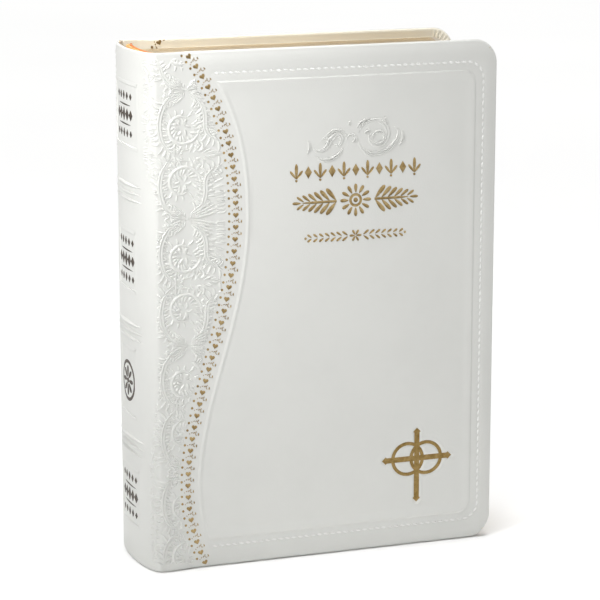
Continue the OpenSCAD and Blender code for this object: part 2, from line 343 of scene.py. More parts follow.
def smooth_path(points, spacing=0.6):
    """A Catmull-Rom curve through given points, at an even spacing."""
    p = np.asarray(points, float)
    p = np.vstack([2 * p[0] - p[1], p, 2 * p[-1] - p[-2]])
    out = []
    for a, b, c, d in zip(p, p[1:], p[2:], p[3:]):
        n = max(2, int(math.ceil(np.linalg.norm(c - b) / spacing)))
        for t in np.arange(n) / n:
            curve = (2 * a - 5 * b + 4 * c - d) * t**2 + (3 * b - a - 3 * c + d) * t**3
            out.append(0.5 * (2 * b + (c - a) * t + curve))
    out.append(p[-2])
    return np.array(out)


def along_path(path):
    """The distance along a path at each of its points."""
    return np.concatenate([[0], np.cumsum(np.linalg.norm(np.diff(path, axis=0), axis=1))])


def around(x, y, r, angles):
    """Points round a centre, at one radius or a radius each."""
    return np.stack([x + r * np.cos(angles), y + r * np.sin(angles)], -1)


def spiral(cx, cy, r0, r1, a0, a1, spacing=0.6):
    """Points of a spiral about a centre, between two radii and two angles in degrees."""
    n = max(4, int(abs(math.radians(a1 - a0)) * max(r0, r1) / spacing))
    t = np.linspace(0, 1, n + 1)
    return around(cx, cy, mix(r0, r1, t), np.radians(mix(a0, a1, t)))


# Shares of a ridge's half width and height, from one flank to the other
RIDGE = [(u, math.cos(u * math.pi / 2) ** 1.5) for u in (-1, -0.72, -0.42, 0, 0.42, 0.72, 1)]
LIP = [(-1, 0), (-0.4, 0.35), (0.2, 0.8), (0.55, 1), (0.8, 0.9), (1, 0)]
RAIL = [(-1, 0), (-0.75, 0.75), (-0.5, 1), (-0.2, 0.35), (0.2, 0.35), (0.5, 1), (0.75, 0.75), (1, 0)]
FLAT = [(-1, -0.5), (-0.95, 2), (-0.6, 1), (0.6, 1), (0.95, 2), (1, -0.5)]
ROOT = 0.03           # how far a ridge's foot is sunk
TAPER, TIP_SIZE = 0.35, 0.06    # share of a stroke that narrows to its end, and the least share left there
FOIL_LIFT = 0.05
FOIL_T = 0.08
FOIL_INNER = 0.76     # size of the inner outline of a foil shape
DISH = 0.09           # how far its edge stands over its middle


class Builder:
    """Collects one piece from many small shapes. place(a, b, lift) puts them on a surface."""

    def __init__(self, place=None, flip=False):
        self.place, self.flip = place, flip
        self.points, self.faces, self.kinds = [], [], []

    def add(self, points, faces, kinds=0):
        """Faces of one kind, or of a kind each."""
        first = sum(len(p) for p in self.points)
        self.points.append(np.asarray(points, float))
        self.faces += [[first + i for i in (f[::-1] if self.flip else f)] for f in faces]
        self.kinds += [kinds] * len(faces) if isinstance(kinds, int) else kinds

    def finish(self, name, materials, smooth_shade=True):
        points = np.concatenate(self.points)
        return make_object(name, points, self.faces, materials, self.kinds, smooth_shade)

    def stroke(self, path, width, height, taper=(1, 1), profile=RIDGE):
        """A raised line along a path."""
        path = np.asarray(path, float)
        along = np.gradient(path, axis=0)
        along /= np.maximum(np.linalg.norm(along, axis=1, keepdims=True), 1e-9)
        across = np.stack([-along[:, 1], along[:, 0]], -1)
        t = np.linspace(0, 1, len(path))
        size = np.ones(len(path))
        for tapers, from_end in zip(taper, (t, 1 - t)):
            if tapers:
                size *= np.clip(from_end / TAPER, TIP_SIZE, 1) ** 0.6
        rows = []
        for u, h in profile:
            spot = path + across * (u * width / 2 * size)[:, None]
            rows.append(self.place(spot[:, 0], spot[:, 1], (height * h) * size - ROOT))
        self.add(np.stack(rows, 1).reshape(-1, 3), grid_faces(len(path), len(profile)))

    def foil_line(self, path, width, taper=(1, 1)):
        self.stroke(path, width, FOIL_LIFT + 0.03, taper, FLAT)

    def plate(self, outline, dome=0.0):
        """A foil shape from its outline, with a centre point and a side wall."""
        o = np.asarray(outline, float)
        n, c = len(o), o.mean(0)
        inner = c + (o - c) * FOIL_INNER
        points = [self.place(p[:, 0], p[:, 1], FOIL_LIFT + up)
                  for p, up in ((inner, 0), (o, DISH), (o, -FOIL_T), (c[None], dome))]
        faces = [(3 * n, i, (i + 1) % n) for i in range(n)]
        faces += [(a + i, a + n + i, a + n + (i + 1) % n, a + (i + 1) % n) for a in (0, n) for i in range(n)]
        self.add(np.vstack(points), faces)

    def ring(self, x, y, outer, inner, sides=64):
        """A flat ring of foil."""
        a = np.linspace(0, 2 * math.pi, sides, endpoint=False)
        section = ((outer, -FOIL_T), (outer, -0.02), (outer - 0.08, 0), (inner + 0.08, 0), (inner, -0.02),
                   (inner, -FOIL_T))
        rows = [self.place(*around(x, y, r, a).T, FOIL_LIFT + up) for r, up in section]
        self.add(np.vstack(rows), grid_faces(len(rows), sides, close_cols=True))

    def leaf(self, *shape):
        self.plate(teardrop(*shape))

    def rosette(self, x, y, r, count, length, width):
        """Leaves that point away from a centre."""
        for turn in np.arange(count) * 360 / count:
            a = math.radians(turn)
            self.leaf(x + r * math.cos(a), y + r * math.sin(a), length, width, turn)

    def sheet(self, front, back, rows, cols, kind=0, edge_kind=0):
        """Two grids of points, one behind the other, joined round their border."""
        points = np.vstack([front.reshape(-1, 3), back.reshape(-1, 3)])
        n = rows * cols
        faces = grid_faces(rows, cols)
        grid = np.arange(n).reshape(rows, cols)
        border = np.concatenate([grid[0], grid[1:, -1], grid[-1, -2::-1], grid[-2:0:-1, 0]]).tolist()
        self.add(points, faces, kind)
        self.add(points, [tuple(n + i for i in f[::-1]) for f in faces], kind)
        self.add(points, [(j, n + j, n + i, i) for i, j in zip(border, border[1:] + border[:1])], edge_kind)

    def tube(self, x, y, z, across, up, sides, kinds):
        """A closed tube along a path in plan, with its own half width and height at each step."""
        tx, ty = np.gradient(x), np.gradient(y)
        norm = np.hypot(tx, ty)
        nx, ny = ty / norm, -tx / norm
        ring = np.linspace(0, 2 * math.pi, sides, endpoint=False)
        points = [
            (x[k] + nx[k] * across[k] * math.cos(t), y[k] + ny[k] * across[k] * math.cos(t),
             z + up[k] * math.sin(t))
            for k in range(len(x)) for t in ring
        ]
        faces = grid_faces(len(x), sides, close_cols=True)
        last = (len(x) - 1) * sides
        ends = [range(sides)[::-1], range(last, last + sides)]
        self.add(points, faces + ends, [kinds[f // sides] for f in range(len(faces))] + [kinds[0], kinds[-1]])


def side_place(side):
    """Places points given as (s, depth below the head) on one side of the case."""
    return lambda s, down, lift=0.0: on_case(side, s, HEIGHT - np.asarray(down), lift)


def cover_builder(side):
    return Builder(side_place(side), side == FRONT)


def spine_place(a, down, lift=0.0):
    """Places points given by the distance from the middle of the spine, negative to the front."""
    a = np.asarray(a, float)
    side = np.where(a < 0, FRONT, BACK)
    return on_case(side, np.abs(a) - SPINE_S, HEIGHT - np.asarray(down), lift)


# ---- Materials ----


class Look:
    """A procedural material, all of whose textures lie in object space."""

    def __init__(self, name):
        self.material = bpy.data.materials.new(name)
        self.material.use_nodes = True
        self.nodes, self.links = self.material.node_tree.nodes, self.material.node_tree.links
        self.shader = self.nodes["Principled BSDF"]
        self.coord = self.nodes.new("ShaderNodeTexCoord").outputs["Object"]

    def texture(self, kind, vector, inputs, **settings):
        tex = self.nodes.new("ShaderNodeTex" + kind)
        for key, value in settings.items():
            setattr(tex, key, value)
        for key, value in inputs.items():
            tex.inputs[key].default_value = value
        self.links.new(vector, tex.inputs["Vector"])
        return tex

    def noise(self, scale, detail=3.0, rough=0.55, stretch=(1, 1, 1)):
        """Noise in features per metre, stretched along an axis."""
        mapping = self.nodes.new("ShaderNodeMapping")
        mapping.inputs["Scale"].default_value = stretch
        self.links.new(self.coord, mapping.inputs["Vector"])
        inputs = {"Scale": scale, "Detail": detail, "Roughness": rough}
        return self.texture("Noise", mapping.outputs["Vector"], inputs).outputs["Fac"]

    def math(self, operation, *inputs):
        node = self.nodes.new("ShaderNodeMath")
        node.operation = operation
        for socket, value in zip(node.inputs, inputs):
            if isinstance(value, float):
                socket.default_value = value
            else:
                self.links.new(value, socket)
        return node.outputs["Value"]

    def colour(self, source, positions, tones):
        """The base colour, from a ramp over a texture."""
        ramp = self.nodes.new("ShaderNodeValToRGB")
        stops = ramp.color_ramp.elements
        stops.remove(stops[1])
        for k, (position, tone) in enumerate(zip(positions, tones)):
            stop = stops[0] if k == 0 else stops.new(position)
            stop.position = position
            stop.color = (*tone, 1)
        self.links.new(source, ramp.inputs["Fac"])
        self.links.new(ramp.outputs["Color"], self.shader.inputs["Base Color"])

    def gloss(self, source, low, high, **constants):
        """The roughness, between two values over a texture, and constants of the shader."""
        span = self.nodes.new("ShaderNodeMapRange")
        span.inputs["To Min"].default_value = low
        span.inputs["To Max"].default_value = high
        self.links.new(source, span.inputs["Value"])
        self.links.new(span.outputs["Result"], self.shader.inputs["Roughness"])
        for key, value in constants.items():
            self.shader.inputs[key.replace("_", " ")].default_value = value

    def relief(self, distance, *heights):
        """Bumps of (texture, strength) pairs on top of each other, and the finished material."""
        normal = None
        for source, strength in heights:
            bump = self.nodes.new("ShaderNodeBump")
            bump.inputs["Strength"].default_value = strength
            bump.inputs["Distance"].default_value = distance * MM
            self.links.new(source, bump.inputs["Height"])
            if normal is not None:
                self.links.new(normal, bump.inputs["Normal"])
            normal = bump.outputs["Normal"]
        self.links.new(normal, self.shader.inputs["Normal"])
        return self.material


def shades(tone, *factors):
    return [tuple(c * k for c in tone) for k in factors]


def leather_material(name, tone, roughness=0.46, grain=0.35):
    """Coated leather with a fine pebble grain, soft colour drift and satin gloss."""
    look = Look(name)
    drift = look.noise(34, 4, 0.6)
    look.colour(drift, (0.3, 0.52, 0.75), shades(tone, 0.975, 1.0, 1.01))
    pebble = look.texture("Voronoi", look.coord, {"Scale": 1500, "Smoothness": 0.6}, feature="SMOOTH_F1")
    fine = look.noise(2600, 3)
    crease = look.noise(260, 4, 0.6, (1, 1, 2.2))
    look.gloss(drift, roughness - 0.06, roughness + 0.08, Specular_IOR_Level=0.42)
    return look.relief(
        0.12, (crease, 0.5 * grain), (pebble.outputs["Distance"], 0.5 * grain), (fine, 0.3 * grain)
    )


def foil_material(name, tones, roughness=0.34):
    """Hot-stamped metal foil, a little uneven in colour and gloss."""
    look = Look(name)
    patch = look.noise(420, 5, 0.65)
    look.colour(patch, (0.32, 0.5, 0.68), tones)
    look.gloss(patch, roughness - 0.08, roughness + 0.14, Metallic=0.85)
    return look.relief(0.05, (look.noise(3200, 2), 0.25))


def gilt_material():
    """Gilt page edges: burnished metal over the fine lines of stacked pages."""
    look = Look("gilt_edge")
    sheets = look.noise(60, 3, 0.6, (0.5, 110, 0.5))
    cloud = look.math("MULTIPLY_ADD", look.noise(45, 3), 0.35, sheets)
    look.colour(cloud, (0.45, 0.66, 0.88), [(0.33, 0.21, 0.085), (0.50, 0.36, 0.18), (0.64, 0.50, 0.29)])
    look.gloss(sheets, 0.3, 0.52, Metallic=0.6)
    return look.relief(0.08, (sheets, 0.5))


def paper_material(name, tone, fibre=0.5):
    """Uncoated paper with faint fibres."""
    look = Look(name)
    look.colour(look.noise(90, 5, 0.6), (0.3, 0.5, 0.72), shades(tone, 0.94, 1.0, 1.02))
    fibres = look.noise(1400, 4, 0.7, (1, 1, 0.35))
    look.gloss(fibres, 0.72, 0.9)
    return look.relief(0.05, (fibres, 0.4 * fibre))


def thread_material(name, tones):
    """Silk thread wound round a core: fine twist lines and a soft sheen."""
    look = Look(name)
    strand = look.noise(900, 3, 0.6, (1, 3, 0.6))
    look.colour(strand, (0.3, 0.7), tones)
    look.gloss(strand, 0.45, 0.7, Sheen_Weight=0.3)
    return look.relief(0.35, (strand, 0.6))


def cloth_material(name, tone):
    """Open-weave cloth."""
    look = Look(name)
    wave = {"Scale": 420, "Distortion": 0.6}
    threads = [look.texture("Wave", look.coord, wave, bands_direction=a).outputs["Fac"] for a in "XZ"]
    high = look.math("MAXIMUM", *threads)
    look.colour(high, (0.2, 0.8), shades(tone, 0.72, 1.0))
    look.gloss(high, 0.95, 0.8)
    return look.relief(0.15, (high, 0.6))


def card_material(name, tone):
    """Grey board with flecks."""
    look = Look(name)
    fleck = look.noise(700, 5, 0.7)
    look.colour(fleck, (0.35, 0.5, 0.66), shades(tone, 0.75, 1.0, 1.15))
    look.gloss(fleck, 0.8, 0.95)
    return look.relief(0.08, (fleck, 0.4))


LEATHER = leather_material("white_leather", (0.765, 0.768, 0.737))
# Same white leather as the cover, painted brighter and creamier: painted light for the shade in the gap
# between the covers, and a painted warm reflection of the gilt edges.
TURN_IN_PAINTED_LIGHT = leather_material("turned_in_leather_painted_light", (0.95, 0.91, 0.78))
FOIL = foil_material("gold_foil", [(0.27, 0.18, 0.07), (0.42, 0.30, 0.135), (0.54, 0.405, 0.20)])
DEEP_FOIL = foil_material("deep_gold_foil", [(0.20, 0.125, 0.035), (0.30, 0.20, 0.07), (0.38, 0.27, 0.11)])
PRINT = foil_material("spine_print", [(0.035, 0.026, 0.02), (0.07, 0.05, 0.035), (0.12, 0.09, 0.06)], 0.4)
GILT = gilt_material()
PAGE = paper_material("page_paper", (0.93, 0.905, 0.84))
ENDPAPER = paper_material("endpaper", (0.92, 0.89, 0.81), 0.8)
KRAFT = paper_material("lining_paper", (0.52, 0.40, 0.26))
BAND_ORANGE = thread_material("headband_orange", [(0.66, 0.15, 0.01), (0.88, 0.28, 0.03)])
BAND_GOLD = thread_material("headband_gold", [(0.58, 0.30, 0.08), (0.82, 0.52, 0.20)])
THREAD = thread_material("linen_thread", [(0.62, 0.58, 0.48), (0.82, 0.78, 0.68)])
STITCH = thread_material("white_thread", [(0.90, 0.90, 0.88), (0.96, 0.96, 0.94)])
CLOTH = cloth_material("mull_weave", (0.80, 0.77, 0.68))
CARD = card_material("grey_card", (0.40, 0.385, 0.35))
BOARD = card_material("grey_board", (0.30, 0.285, 0.26))
GLUE = leather_material("dry_glue", (0.66, 0.56, 0.34), 0.35, 0.8)
FOAM = card_material("foam_sheet", (0.78, 0.76, 0.66))

# ---- Camera and stage ----

CAMERA_AIM = (-1.2, 0.0, 103.4)
CAMERA_AZIMUTH, CAMERA_ELEVATION = -19.56, 12.62
CAMERA_DISTANCE = 1045.0
CAMERA_LENS = 150.7
FLOOR_HALF = 6000
WORLD_LIGHT = 0.22
SUN_LIGHT, SUN_SIZE = 2.7, 20
# Soft boxes: place, target, side, watts, and the spread that keeps their light off the floor
SOFT_BOXES = {
    "key": ((-300, -210, 420), (-80, 0, 150), 80, 0.080, 45),
    "brow": ((-230, -400, 480), (0, 0, 215), 100, 0.038, 45),
}


def direction(azimuth, elevation):
    """From the object towards a viewer, where azimuth 0 looks along +Y."""
    a, e = math.radians(azimuth), math.radians(elevation)
    return np.array([math.sin(a) * math.cos(e), -math.cos(a) * math.cos(e), math.sin(e)])


def aimed(obj, place, target):
    """Puts an object at a place and turns its -Z axis to a target, in millimetres."""
    bpy.context.scene.collection.objects.link(obj)
    obj.location = np.asarray(place, float) * MM
    way = Vector((np.asarray(target, float) - np.asarray(place, float)).tolist())
    obj.rotation_euler = way.to_track_quat("-Z", "Y").to_euler()


def make_camera():
    data = bpy.data.cameras.new("camera")
    data.lens = CAMERA_LENS
    cam = bpy.data.objects.new("camera", data)
    away = direction(CAMERA_AZIMUTH, CAMERA_ELEVATION) * CAMERA_DISTANCE
    aimed(cam, np.array(CAMERA_AIM) + away, CAMERA_AIM)
    bpy.context.scene.camera = cam


def make_stage():
    """A pale floor, an even white surround, and soft lights."""
    look = Look("floor")
    look.colour(look.noise(2, 2), (0.3, 0.7), [(0.93, 0.93, 0.925), (0.95, 0.95, 0.945)])
    look.shader.inputs["Roughness"].default_value = 0.9
    look.shader.inputs["Specular IOR Level"].default_value = 0.1
    half = FLOOR_HALF
    corners = [(-half, -half, 0), (half, -half, 0), (half, half, 0), (-half, half, 0)]
    floor = make_object("floor", corners, [(0, 1, 2, 3)], [look.material], smooth_shade=False)
    floor.location.z = -0.0001
    world = bpy.data.worlds.new("surround")
    world.use_nodes = True
    world.node_tree.nodes["Background"].inputs["Color"].default_value = (1, 1, 1, 1)
    world.node_tree.nodes["Background"].inputs["Strength"].default_value = WORLD_LIGHT
    bpy.context.scene.world = world
    for name, (place, target, size, watts, spread) in SOFT_BOXES.items():
        data = bpy.data.lights.new(name, "AREA")
        data.shape = "RECTANGLE"
        data.size = data.size_y = size * MM
        data.energy = watts
        data.spread = math.radians(spread)
        light = bpy.data.objects.new(name, data)
        light.visible_camera = False
        aimed(light, place, target)
    sun = bpy.data.lights.new("overhead", "SUN")
    sun.energy = SUN_LIGHT
    sun.angle = math.radians(SUN_SIZE)
    bpy.context.scene.collection.objects.link(bpy.data.objects.new("overhead", sun))
    bpy.context.scene.view_settings.view_transform = "Standard"
    bpy.context.scene.view_settings.look = "None"


# ---- Skin of the case ----

PLEATS = 7            # folds of gathered leather round each inner corner
PLEAT_H = 0.5         # their height
PLEATS_FROM = 0.6     # share of the half turn at the edge where they begin
ARC_STATIONS = 54     # points round each corner
EDGE_RINGS = [(0, 1.6, 0.2), (1.6, 5.4, 0.35), (5.4, CORNER_R - 1.6, 0.75)]
EDGE_ANGLES = [0, 12, 26, 42, 58, 74, 90, 106, 122, 138, 154, 168, 180]
TURN_IN_RINGS = [1.8, 2.4, 3.0, 3.6, 4.2, 4.8, 6.0]   # distances in over the turned-in leather
TURNED_ANGLES = 5     # how many of the edge's angles take the turned-in leather, painted brighter and creamier as painted light
# Grid of the flat of each cover in s and z, finer over the front cover's cross
FLAT_END, HEAD_START = COVER_W - CORNER_R - 3, HEIGHT - 14
SKIN_SPANS = {
    FRONT: ([(38, 94, 1.8), (94, 128, 0.36), (128, FLAT_END, 1.8)],
            [(13, 17, 0.6), (17, 54, 0.36), (54, HEAD_START, 0.8)]),
    BACK: ([(38, FLAT_END, 1.8)], [(13, HEAD_START, 0.8)]),
}


def station_rows(s_lines, z_lines):
    """Stations round the outline: a point to start from, and the way out to the edge."""
    low, high = CORNER_R, HEIGHT - CORNER_R
    right = COVER_W - CORNER_R
    turn = np.linspace(-math.pi / 2, 0, ARC_STATIONS + 1)[1:-1]
    rows = [(s, low, 0, -1) for s in s_lines]
    rows += [(right, low, math.cos(a), math.sin(a)) for a in turn]
    rows += [(right, z, 1, 0) for z in z_lines]
    rows += [(right, high, math.cos(a + math.pi / 2), math.sin(a + math.pi / 2)) for a in turn]
    rows += [(s, high, 0, 1) for s in s_lines[::-1]]
    return np.array(rows)


def pleat_height(base, distance):
    """Height of the gathered folds, at stations round the corners."""
    round_corner = (np.abs(base[:, 2]) > 1e-6) & (np.abs(base[:, 3]) > 1e-6)
    angle = np.degrees(np.arctan2(np.abs(base[:, 3]), np.abs(base[:, 2])))
    wave = 0.5 - 0.5 * np.cos(np.radians(angle / 90 * 360 * PLEATS))
    fade = smooth(np.minimum(angle, 90 - angle) / 6)
    rise = smooth((distance + 0.2) / 0.8) * (1 - smooth((distance - 4.0) / 0.8))
    return np.where(round_corner, PLEAT_H * (wave - 0.25) * fade * rise, 0)


def make_skin(side):
    """The outer leather, rolled over its edges and turned in behind them."""
    s_spans, z_spans = SKIN_SPANS[side]
    s_lines = lines((-SPINE_S, -SPINE_S + 9, 1.3), (-SPINE_S + 9, -SPINE_S + 13, 0.4),
                    (-SPINE_S + 13, -7, 1.3), (-7, 2, 0.45), (2, 14, 1.2), (14, 38, 0.45), *s_spans,
                    (FLAT_END, COVER_W - CORNER_R, 0.5))
    z_lines = lines((CORNER_R, 13, 0.25), *z_spans, (HEAD_START, HEIGHT - CORNER_R, 0.25))
    base = station_rows(s_lines, z_lines)
    _, roll, thick = edge_size(base[:, 0])
    inside = np.stack(np.meshgrid(s_lines, z_lines), -1).reshape(-1, 2)
    points = [on_case(side, inside[:, 0], inside[:, 1])]

    def ring_at(reach):
        return base[:, 0] + base[:, 2] * reach, base[:, 1] + base[:, 3] * reach

    for reach in lines(*EDGE_RINGS):
        points.append(on_case(side, *ring_at(reach)))
    flat_rings = len(points) - 1
    start = outer_depth(side, *ring_at(CORNER_R - roll))
    rings = []
    for a in np.radians(EDGE_ANGLES):
        depth = start + (thick - start) / 2 * (1 - math.cos(a))
        gathered = max(a / math.pi - PLEATS_FROM, 0) / (1 - PLEATS_FROM)
        rings.append((roll * (1 - math.sin(a)), depth + pleat_height(base, 0.2) * gathered))
    for d in TURN_IN_RINGS:
        distance = np.maximum(roll, d)
        rings.append((distance, thick + pleat_height(base, distance)))
    for distance, depth in rings:
        s, z = ring_at(CORNER_R - distance)
        points.append(case_point(side, s, depth, z))

    faces = grid_faces(len(z_lines), len(s_lines))
    kinds = [0] * len(faces)
    edge_faces = grid_faces(len(points) - 1, len(base))
    faces += [tuple(len(inside) + i for i in f[::-1]) for f in edge_faces]
    # From this ring on, the faces take the turned-in leather, whose brighter, creamier tone is painted light
    # and a painted gilt reflection.
    turned = flat_rings + len(EDGE_ANGLES) - TURNED_ANGLES
    kinds += [int(k // (len(base) - 1) >= turned) for k in range(len(edge_faces))]
    name = SIDE_NAMES[side]
    skin = make_object(name + "_leather_skin", np.concatenate(points), faces, [LEATHER, TURN_IN_PAINTED_LIGHT], kinds)
    merge_doubles(skin)
    face_out(skin, side)
    blend_to_cover(skin, side)
    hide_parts(name + "_leather", *(["spine_leather"] if side == FRONT else []))


def face_out(obj, side):
    """Turns a skin's faces so that the flat of its cover faces outwards."""
    mesh = obj.data
    normals = np.zeros(len(mesh.polygons) * 3)
    centres = np.zeros(len(mesh.polygons) * 3)
    mesh.polygons.foreach_get("normal", normals)
    mesh.polygons.foreach_get("center", centres)
    normals, centres = normals.reshape(-1, 3), centres.reshape(-1, 3)
    flat = np.abs(centres[:, 1]) > (HALF_T - 0.5) * MM
    if (normals[flat, 1] * side).mean() < 0:
        mesh.flip_normals()
        mesh.update()


# ---- Embossed ornament ----

DAMASK_PERIOD = 51.5
DAMASK_FIRST = 15.0   # depth of the first crossing of its stems
DAMASK_MARGIN = 2.4   # distance it keeps from head and tail
DAMASK_TO_VINE = 3.6
STEM_W = 2.2          # width of its main stems, which are drawn as two lines
# How far round the spine it reaches, at depths below the head
DAMASK_LEFT = np.array([(40, -9.4), (58, -1.6), (135, -1.6), (165, -6.5)])
# Fans of leaf strokes: their number, the first one as comma() takes it, what each adds, width and height
DAMASK_FANS = [
    (6, (22.2, 8, 6.2, 8, -45), (0, 1.8, 0, 12, 0), 1.3, 0.55),
    (6, (23.2, 2.4, 5.0, -30, 70), (0, 1.6, 0, 0, 0), 1.1, 0.48),
    (6, (28.2, 9.2, 3.6, 70, -80), (0, 1.9, 0, -10, 0), 1.1, 0.46),
    (8, (12.6, 25.5, 4.4, -75, 30), (1.7, 0, 0, 13, 0), 1.2, 0.52),
    (4, (2.4, 4.4, 3.2, 80, 60), (1.5, -0.5, 0, 0, 0), 1.0, 0.44),
]


def comma(x, y, length, heading, bend):
    """A curved leaf stroke from a point, heading and bending in degrees."""
    t = np.linspace(0, 1, max(4, int(length / 0.45)))
    a = np.radians(heading + bend * t)
    step = length / (len(t) - 1)
    return np.stack([x + np.cumsum(np.cos(a)) * step, y + np.cumsum(np.sin(a)) * step], -1)


def sprays(path, spacing, length, lean, sides=(1, -1)):
    """Leaf strokes along a stem, leaning forward on either side of it."""
    along = along_path(path)
    out = []
    for k, at in enumerate(np.arange(spacing / 2, along[-1], spacing)):
        x, y = (np.interp(at, along, path[:, j]) for j in (0, 1))
        x2, y2 = (np.interp(at + 0.2, along, path[:, j]) for j in (0, 1))
        heading = math.degrees(math.atan2(y2 - y, x2 - x))
        for m in sides:
            size = length * (1 + 0.25 * math.sin(k * 2.1 + m))
            out.append(comma(x, y, size, heading + m * lean, m * 48))
    return out


def damask_half():
    """Strokes from one crossing of the stems to the middle of a repeat: points, width, height."""
    left = smooth_path([(12, 0), (6, 2), (2, 6.5), (0.4, 13), (1.4, 19.5), (4.5, 23.8), (8, 25.75)])
    right = smooth_path([(12, 0), (17, 4), (19.3, 9.5), (19.6, 15.5), (22, 19), (26, 20.6), (31, 20)])
    cx, cy = 9.8, 14.6
    scroll = spiral(cx, cy, 8.4, 3.6, -70, 330)
    tail = smooth_path([(-2.6, 0), (-4.8, 4.5), (-3.2, 9), (-5.4, 14), (-3.6, 19), (-4.8, 25.75)])
    s = [(left, STEM_W, 0.7), (right, STEM_W, 0.66), (scroll, 1.7, 0.6),
         (spiral(cx, cy, 9.4, 8.9, 20, 160), 0.8, 0.4)]
    for a in range(0, 360, 60):
        x, y = cx + 0.5 * math.cos(math.radians(a)), cy + 0.5 * math.sin(math.radians(a))
        s.append((comma(x, y, 3.0, a - 30, 80), 1.3, 0.6))
    for stem, width, height, leaves in (
        (scroll[8:-4], 1.15, 0.52, (2.1, 2.9, 46)), (left[6:], 1.2, 0.55, (1.9, 4.0, 42, (1,))),
        (left, 1.1, 0.48, (1.7, 2.6, 40, (-1,))), (right[5:], 1.2, 0.55, (1.8, 3.8, 45)),
        (tail, 1.0, 0.36, (1.9, 3.3, 50)),
    ):
        s += [(p, width, height) for p in sprays(stem, *leaves)]
    for k, heading in enumerate((2, 11, 21, 32, 44)):
        y, shorter = 0.4 + 0.3 * k, 0.9 * k
        s.append((comma(12.5, y, 13.5 - shorter, heading, 22 - 9 * k), 1.35, 0.62))
        s.append((comma(11, y, 9.5 - shorter, 178 - heading, 10 * k - 22), 1.2, 0.55))
    for count, first, step, width, height in DAMASK_FANS:
        s += [(comma(*(np.array(first) + k * np.array(step))), width, height) for k in range(count)]
    s.append((spiral(16.4, 22.6, 2.7, 0.6, -120, 290), 1.2, 0.52))
    s.append((spiral(3.6, 2.6, 1.9, 0.5, 60, 400), 1.1, 0.48))
    return s + [(tail, 0.9, 0.36)]


def make_damask(side):
    """Scrolling stems and leaves embossed between the spine and the vine."""
    b = cover_builder(side)
    half = damask_half()
    for k in range(-1, int(math.ceil(HEIGHT / DAMASK_PERIOD)) + 1):
        for flip in (1, -1):
            for path, width, height in half:
                p = path * (1, flip) + (0, DAMASK_FIRST + k * DAMASK_PERIOD)
                inside = (p[:, 1] > DAMASK_MARGIN) & (p[:, 1] < HEIGHT - DAMASK_MARGIN)
                inside &= p[:, 0] > np.interp(p[:, 1], *DAMASK_LEFT.T)
                inside &= p[:, 0] < vine_s(HEIGHT - p[:, 1]) - DAMASK_TO_VINE
                for start, end in runs(inside):
                    if end - start >= 3:
                        b.stroke(p[start:end], width, height, profile=RAIL if width == STEM_W else RIDGE)
    obj = b.finish(SIDE_NAMES[side] + "_damask_emboss", [LEATHER])
    blend_to_cover(obj, side)


def runs(keep):
    """Start and end of each run of kept points."""
    edges = np.flatnonzero(np.diff(np.concatenate([[0], keep.astype(int), [0]])))
    return list(zip(edges[::2], edges[1::2]))


STITCH_PITCH = 2.85
STITCH_W, STITCH_H, STITCH_SLANT = 0.95, 0.42, math.radians(9)


def stitch_path():
    """Centres and directions of the stitches round the cover's three free edges."""
    r, right = STITCH_R, STITCH_RIGHT
    corner_top = spiral(right - r, STITCH_TOP + r, r, r, -90, 0, 0.2)
    corner_bottom = spiral(right - r, STITCH_BOTTOM - r, r, r, 0, 90, 0.2)
    path = np.vstack([[(23, STITCH_TOP)], corner_top, corner_bottom, [(21, STITCH_BOTTOM)]])
    length = along_path(path)
    at = np.arange(1.5, length[-1] - 1, STITCH_PITCH)
    spot = np.stack([np.interp(at, length, path[:, k]) for k in (0, 1)], -1)
    ahead = np.stack([np.interp(at + 0.3, length, path[:, k]) for k in (0, 1)], -1)
    return spot, ahead - spot


def make_stitches(side):
    """A line of plump slanted stitches inside the cover's edge."""
    b = cover_builder(side)
    c, s = math.cos(STITCH_SLANT), math.sin(STITCH_SLANT)
    t = np.linspace(-1, 1, 7)[:, None]
    for spot, way in zip(*stitch_path()):
        way = way / np.linalg.norm(way)
        way = np.array([way[0] * c - way[1] * s, way[0] * s + way[1] * c])
        b.stroke(spot + t * way * (STITCH_PITCH * 0.4), STITCH_W, STITCH_H)
    obj = b.finish(SIDE_NAMES[side] + "_border_stitches", [STITCH])
    settle(obj, SIDE_NAMES[side] + "_cover", "white_leather")


FLOURISH_H = 0.68
# The scroll above the title place: lines through points, spirals and leaf strokes, with their widths
FLOURISH_PATHS = [
    ([(64.5, 39.5), (66, 42), (69.5, 41.5), (72, 38), (75, 35.6), (77, 37.4), (75.6, 40.4), (73, 39.6)],
     2.125),
    ([(70, 37), (72.5, 34.6), (76.5, 34.4), (79.5, 36.6)], 1.5),
    ([(84, 38.5), (85.5, 42), (90, 44.4), (96, 43.4), (100.4, 39.6), (101.4, 35.4), (98.6, 33.4)], 2),
    ([(95.6, 38.4), (93, 40.6), (89.6, 39.8), (88.8, 37)], 1.5),
    ([(86, 42.6), (88.4, 44.6), (92.4, 45.2)], 1.25),
    ([(83.4, 33.6), (85.6, 31.2), (89.4, 30)], 1.25),
    ([(65.6, 44.4), (69, 46), (73, 45.4), (76.4, 43.2), (78, 40.8)], 1.375),
    ([(62.4, 37.4), (63.2, 40.4), (62.2, 43.2)], 1.125),
    ([(101.8, 42), (103.4, 38.8), (103, 35)], 1.125),
]
FLOURISH_SPIRALS = [
    ((81.4, 38.2, 2.4, 0.8, 180, 470), 1.5), ((91.6, 37, 7.4, 2.2, -170, 210), 2.125),
    ((93.4, 38.2, 3.6, 1.1, 150, 470), 1.375), ((70.2, 38.8, 2.3, 0.7, 190, 520), 1.375),
]
FLOURISH_LEAVES = [
    ((97.4, 32.6, 3.4, -150, 60), 1.375), ((86.4, 36.6, 3.2, -60, 70), 1.375),
    ((80.6, 33.2, 2.6, -120, 70), 1.125),
]


